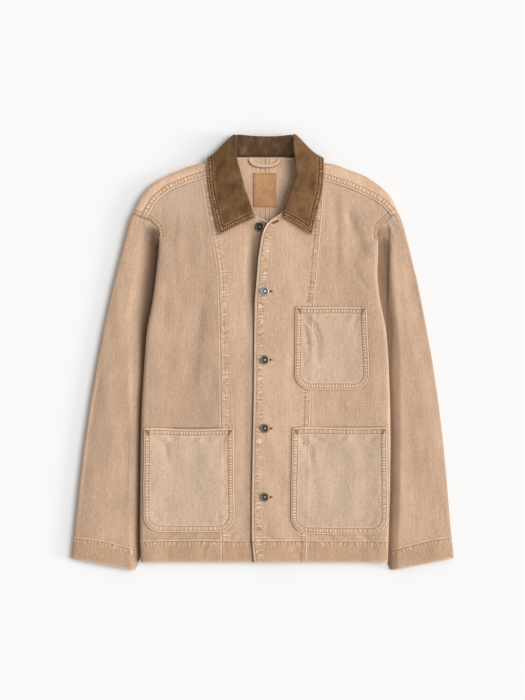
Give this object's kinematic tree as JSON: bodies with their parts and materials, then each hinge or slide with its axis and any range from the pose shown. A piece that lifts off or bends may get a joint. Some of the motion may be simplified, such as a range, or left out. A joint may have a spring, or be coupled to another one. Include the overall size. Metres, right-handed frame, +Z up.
{
  "type": "denim barn jacket laid out flat",
  "caption": "Denim barn jacket laid out flat, with a corduroy collar, patch pockets, panel seams and metal tack buttons.",
  "frame": {"origin": "bottom centre of the bounding box of the laid-out jacket, on the surface it lies on", "axes": "+Z up out of the front, +Y from the hem towards the collar, +X towards the wearer's left sleeve"},
  "size_m": [0.708, 0.8052, 0.0276],
  "materials": {
    "denim": "washed tan denim with a fine diagonal weave, matte",
    "pocket_denim": "the same denim, a little paler and greyer",
    "corduroy": "brown fine-wale corduroy with a short nap",
    "label": "smooth tan leatherette, left bare",
    "button_metal": "antiqued dark metal, worn bright on its rims"
  },
  "bodies": {
    "root": {"back_left": "denim", "back_right": "denim", "side_front_left": "denim", "side_front_right": "denim", "centre_front_left": "denim", "centre_front_right": "denim", "sleeve_left": "denim", "sleeve_right": "denim", "under_collar": "denim", "collar": "corduroy", "pocket_chest": "pocket_denim", "pocket_lower_left": "pocket_denim", "pocket_lower_right": "pocket_denim", "hanger_loop": "denim", "neck_label": "label", "button_1": "button_metal", "button_2": "button_metal", "button_3": "button_metal", "button_4": "button_metal", "button_5": "button_metal"}
  },
  "joints": []
}
